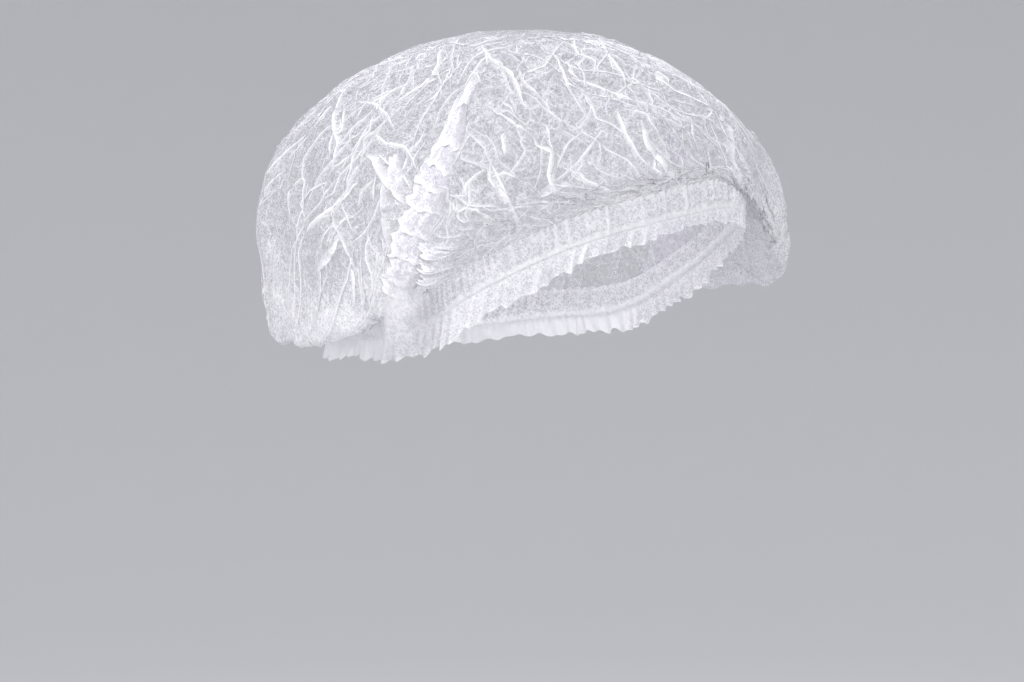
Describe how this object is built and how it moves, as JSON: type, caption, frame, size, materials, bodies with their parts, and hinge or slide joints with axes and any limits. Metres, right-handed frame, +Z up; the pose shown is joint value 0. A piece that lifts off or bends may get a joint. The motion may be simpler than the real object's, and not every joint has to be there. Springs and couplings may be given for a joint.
{
  "type": "disposable hair cover cap",
  "caption": "Loose pleated cap of thin white nonwoven sheet with an elastic in its gathered rim, for covering the hair.",
  "frame": {"origin": "middle of the opening that the head goes into, at the elastic's mean height", "axes": "-Y where the face looks, +X the wearer's left, +Z up through the top of the cap"},
  "size_m": [0.1979, 0.2323, 0.1452],
  "materials": {
    "nonwoven": "matte, sheer, crumpled spunbond sheet",
    "nonwoven_hem": "matte, doubled and gathered sheet",
    "elastic": "white covered elastic thread"
  },
  "bodies": {
    "root": {"crown": "nonwoven", "rim_casing": "nonwoven_hem", "elastic_loop": "elastic", "rim_frill": "nonwoven_hem", "pleat_stack_right": "nonwoven", "pleat_stack_left": "nonwoven"}
  },
  "joints": []
}
